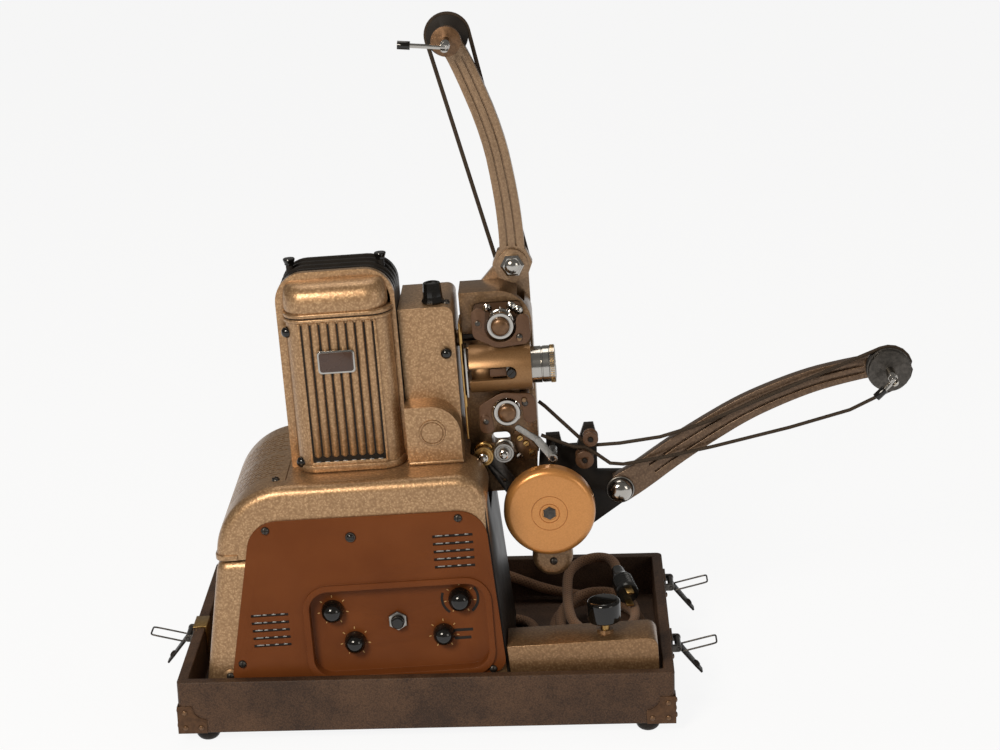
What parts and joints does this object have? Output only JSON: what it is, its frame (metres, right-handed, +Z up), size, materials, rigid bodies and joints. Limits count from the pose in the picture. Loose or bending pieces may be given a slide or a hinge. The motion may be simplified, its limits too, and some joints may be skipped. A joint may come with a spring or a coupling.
{
  "type": "movie projector",
  "caption": "Portable 16 mm sound film projector with folding reel arms, standing in the tray of its carrying case",
  "frame": {"origin": "centre of the tray at the height of the table", "axes": "X the way the lens looks, Y away from the operator, Z up"},
  "size_m": [0.6497, 0.2656, 0.575],
  "materials": {
    "hammertone": "bronze gold hammertone enamel",
    "brown_paint": "semi gloss brown enamel",
    "black_paint": "satin black enamel",
    "flywheel_gold": "satin orange gold metallic lacquer",
    "phenolic": "moulded black phenolic",
    "steel": "turned and brushed steel",
    "chrome": "polished chrome plate",
    "brass": "satin brass",
    "glass": "clear glass",
    "leatherette": "dark brown crackled leatherette on wood",
    "cord_cloth": "brown woven cord",
    "belt": "dark round belt",
    "plug_rubber": "black moulded rubber"
  },
  "bodies": {
    "tray": {"tray_shell": "leatherette", "tray_hardware": "steel", "power_cord": "cord_cloth", "cord_hank": "cord_cloth", "power_cord_end": "cord_cloth", "cord_plug": "plug_rubber"},
    "chassis": {"base_casing": "hammertone", "arch_cover": "hammertone", "bottom_plate": "black_paint", "end_plate": "black_paint", "control_panel": "brown_paint", "cover_fasteners": "phenolic", "tilt_box": "hammertone", "amplifier": "steel", "drive_motor": "black_paint", "lamphouse_body": "hammertone", "lamphouse_cover": "hammertone", "projection_lamp": "glass", "mechanism_cover": "hammertone", "head_casting": "hammertone", "film_gate": "brass", "lens_holder": "hammertone", "exciter_housing": "hammertone", "takeup_bracket": "black_paint", "takeup_belt_lead": "belt", "arm_bracket": "hammertone"},
    "feed_arm": {"feed_arm": "hammertone", "feed_belt": "belt"},
    "takeup_arm": {"takeup_arm": "hammertone", "takeup_belt": "belt"},
    "elevating_foot": {"elevating_foot": "brass"},
    "tilt_knob": {"tilt_knob": "phenolic"},
    "motor_knob": {"motor_knob": "phenolic"},
    "lamp_knob": {"lamp_knob": "phenolic"},
    "tone_knob": {"tone_knob": "phenolic"},
    "volume_knob": {"volume_knob": "phenolic"},
    "fuse_cap": {"fuse_cap": "phenolic"},
    "framing_knob": {"framing_knob": "phenolic"},
    "lens_barrel": {"lens_barrel": "chrome"},
    "pressure_shoe": {"pressure_shoe": "steel"},
    "motor_rotor": {"motor_rotor": "steel"},
    "shutter": {"shutter": "steel"},
    "upper_sprocket": {"upper_sprocket": "chrome"},
    "lower_sprocket": {"lower_sprocket": "chrome"},
    "upper_shoe": {"upper_shoe": "brown_paint"},
    "lower_shoe": {"lower_shoe": "brown_paint"},
    "brass_roller": {"brass_roller": "brass"},
    "steel_roller": {"steel_roller": "chrome"},
    "film_lever": {"film_lever": "black_paint"},
    "tension_lever": {"tension_lever": "chrome"},
    "flywheel": {"flywheel": "flywheel_gold"},
    "upper_idler": {"upper_idler": "brown_paint"},
    "lower_idler": {"lower_idler": "brown_paint"},
    "feed_spindle": {"feed_spindle": "black_paint"},
    "takeup_spindle": {"takeup_spindle": "black_paint"},
    "feed_latch": {"feed_latch": "chrome"},
    "takeup_latch": {"takeup_latch": "chrome"},
    "front_latch": {"front_latch": "steel"},
    "back_latch": {"back_latch": "steel"},
    "left_latch": {"left_latch": "steel"}
  },
  "joints": [
    {"name": "tilt", "type": "hinge", "parent": "tray", "child": "chassis", "pos_m": [-0.163, 0, 0.027], "axis": [0, -1, 0], "range_deg": [-2.5, 1.2]},
    {"name": "foot_slide", "type": "slide", "parent": "chassis", "child": "elevating_foot", "axis": [-0.0436, 0, 0.999], "range_m": [-0.008, 0.015]},
    {"name": "tilt_knob_turn", "type": "hinge", "parent": "elevating_foot", "child": "tilt_knob", "pos_m": [0.14739, -0.096, 0.0936], "axis": [-0.0436, 0, 0.999], "range_deg": [-1440, 1440]},
    {"name": "motor_knob_turn", "type": "hinge", "parent": "chassis", "child": "motor_knob", "pos_m": [-0.0738, -0.11, 0.10697], "axis": [0, 1, 0], "range_deg": [0, 60]},
    {"name": "lamp_knob_turn", "type": "hinge", "parent": "chassis", "child": "lamp_knob", "pos_m": [-0.05658, -0.11, 0.07929], "axis": [0, 1, 0], "range_deg": [0, 60]},
    {"name": "tone_knob_turn", "type": "hinge", "parent": "chassis", "child": "tone_knob", "pos_m": [0.01616, -0.11, 0.08457], "axis": [0, 1, 0], "range_deg": [-150, 150]},
    {"name": "volume_knob_turn", "type": "hinge", "parent": "chassis", "child": "volume_knob", "pos_m": [0.03025, -0.11, 0.11491], "axis": [0, 1, 0], "range_deg": [-150, 150]},
    {"name": "fuse_cap_turn", "type": "hinge", "parent": "chassis", "child": "fuse_cap", "pos_m": [-0.02102, -0.11, 0.09696], "axis": [0, 1, 0], "range_deg": [0, 90]},
    {"name": "framing_turn", "type": "hinge", "parent": "chassis", "child": "framing_knob", "pos_m": [0.01475, -0.042, 0.34606], "axis": [-0.0436, 0, 0.999], "range_deg": [-90, 90]},
    {"name": "focus_slide", "type": "slide", "parent": "chassis", "child": "lens_barrel", "axis": [0.999, 0, 0.0436], "range_m": [-0.012, 0]},
    {"name": "gate_slide", "type": "slide", "parent": "chassis", "child": "pressure_shoe", "axis": [0.999, 0, 0.0436], "range_m": [0, 0.0015], "stiffness_N_per_m": 200},
    {"name": "motor_spin", "type": "hinge", "parent": "chassis", "child": "motor_rotor", "pos_m": [-0.00238, 0.008, 0.08506], "axis": [0.999, 0, 0.0436], "continuous": true},
    {"name": "shutter_spin", "type": "hinge", "parent": "chassis", "child": "shutter", "pos_m": [0.01791, -0.019, 0.30816], "axis": [0.999, 0, 0.0436], "continuous": true},
    {"name": "upper_sprocket_spin", "type": "hinge", "parent": "chassis", "child": "upper_sprocket", "pos_m": [0.06876, -0.04, 0.32639], "axis": [0, 1, 0], "continuous": true},
    {"name": "lower_sprocket_spin", "type": "hinge", "parent": "chassis", "child": "lower_sprocket", "pos_m": [0.07199, -0.04, 0.25246], "axis": [0, 1, 0], "continuous": true},
    {"name": "upper_shoe_swing", "type": "hinge", "parent": "chassis", "child": "upper_shoe", "pos_m": [0.08402, -0.05, 0.31625], "axis": [0, 1, 0], "range_deg": [0, 5]},
    {"name": "lower_shoe_swing", "type": "hinge", "parent": "chassis", "child": "lower_shoe", "pos_m": [0.0863, -0.05, 0.2639], "axis": [0, 1, 0], "range_deg": [-5, 0]},
    {"name": "brass_roller_spin", "type": "hinge", "parent": "chassis", "child": "brass_roller", "pos_m": [0.05133, -0.04, 0.21433], "axis": [0, 1, 0], "continuous": true},
    {"name": "steel_roller_spin", "type": "hinge", "parent": "chassis", "child": "steel_roller", "pos_m": [0.06823, -0.04, 0.21697], "axis": [0, 1, 0], "continuous": true},
    {"name": "film_lever_swing", "type": "hinge", "parent": "chassis", "child": "film_lever", "pos_m": [0.07683, -0.028, 0.1736], "axis": [0, 1, 0], "range_deg": [-5, 5]},
    {"name": "tension_swing", "type": "hinge", "parent": "chassis", "child": "tension_lever", "pos_m": [0.10823, -0.04, 0.21101], "axis": [0, 1, 0], "range_deg": [-6, 6]},
    {"name": "flywheel_spin", "type": "hinge", "parent": "chassis", "child": "flywheel", "pos_m": [0.10461, -0.04, 0.17011], "axis": [0, 1, 0], "continuous": true},
    {"name": "upper_idler_spin", "type": "hinge", "parent": "chassis", "child": "upper_idler", "pos_m": [0.1399, -0.02, 0.2194], "axis": [0, 1, 0], "continuous": true},
    {"name": "lower_idler_spin", "type": "hinge", "parent": "chassis", "child": "lower_idler", "pos_m": [0.13464, -0.02, 0.20215], "axis": [0, 1, 0], "continuous": true},
    {"name": "feed_arm_fold", "type": "hinge", "parent": "chassis", "child": "feed_arm", "pos_m": [0.07932, 0, 0.36879], "axis": [0, 1, 0], "range_deg": [0, 100]},
    {"name": "takeup_arm_fold", "type": "hinge", "parent": "chassis", "child": "takeup_arm", "pos_m": [0.16414, 0, 0.17081], "axis": [0, 1, 0], "range_deg": [-60, 0]},
    {"name": "feed_spindle_spin", "type": "hinge", "parent": "feed_arm", "child": "feed_spindle", "pos_m": [0.03261, -0.01, 0.55604], "axis": [0, 1, 0], "continuous": true},
    {"name": "takeup_spindle_spin", "type": "hinge", "parent": "takeup_arm", "child": "takeup_spindle", "pos_m": [0.38677, -0.01, 0.27342], "axis": [0, 1, 0], "continuous": true},
    {"name": "feed_latch_flip", "type": "hinge", "parent": "feed_spindle", "child": "feed_latch", "pos_m": [0.03261, -0.053, 0.55604], "axis": [-0.0785, 0, -0.9969], "range_deg": [-90, 0]},
    {"name": "takeup_latch_flip", "type": "hinge", "parent": "takeup_spindle", "child": "takeup_latch", "pos_m": [0.38677, -0.054, 0.27342], "axis": [0.7009, 0, -0.7133], "range_deg": [-90, 0]},
    {"name": "front_latch_swing", "type": "hinge", "parent": "tray", "child": "front_latch", "pos_m": [0.209, -0.052, 0.046], "axis": [0, 1, 0], "range_deg": [-60, 30]},
    {"name": "back_latch_swing", "type": "hinge", "parent": "tray", "child": "back_latch", "pos_m": [0.209, 0.082, 0.046], "axis": [0, 1, 0], "range_deg": [-60, 30]},
    {"name": "left_latch_swing", "type": "hinge", "parent": "tray", "child": "left_latch", "pos_m": [-0.209, -0.008, 0.046], "axis": [0, 1, 0], "range_deg": [-30, 60]}
  ],
  "couplings": [
    {"joint": "foot_slide", "follows": "tilt", "m_per_rad": -0.313},
    {"joint": "tilt_knob_turn", "follows": "tilt", "ratio": -328},
    {"joint": "shutter_spin", "follows": "motor_spin", "ratio": 0.5},
    {"joint": "upper_sprocket_spin", "follows": "motor_spin", "ratio": 0.0625},
    {"joint": "lower_sprocket_spin", "follows": "motor_spin", "ratio": 0.0625}
  ]
}
